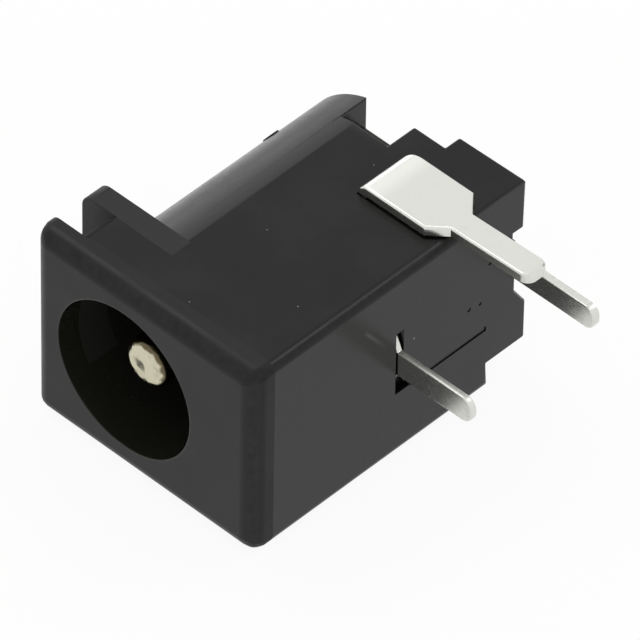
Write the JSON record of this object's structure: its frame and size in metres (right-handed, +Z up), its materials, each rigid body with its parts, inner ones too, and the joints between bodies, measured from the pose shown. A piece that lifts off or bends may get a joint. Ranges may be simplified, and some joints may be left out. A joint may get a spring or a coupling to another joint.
{
  "type": "dc barrel jack",
  "caption": "Board-mounted DC power socket: black moulded housing with a round mouth, a centre pin, a sleeve spring and a switch terminal.",
  "frame": {"origin": "in the board's plane, in the plane of the mouth's face, at the middle of the housing's width", "axes": "+Z up from the board, -Y out of the mouth, +X towards the side that carries the switch terminal"},
  "size_m": [0.0095, 0.0145, 0.0148],
  "materials": {
    "housing": "semi-gloss moulded black",
    "pin": "nickel plated",
    "plated_sheet": "tin plated",
    "spring": "tin plated"
  },
  "bodies": {
    "root": {"housing": "housing", "centre_pin": "pin", "rear_terminal": "plated_sheet", "sleeve_spring": "spring", "switch_terminal": "plated_sheet"}
  },
  "joints": []
}
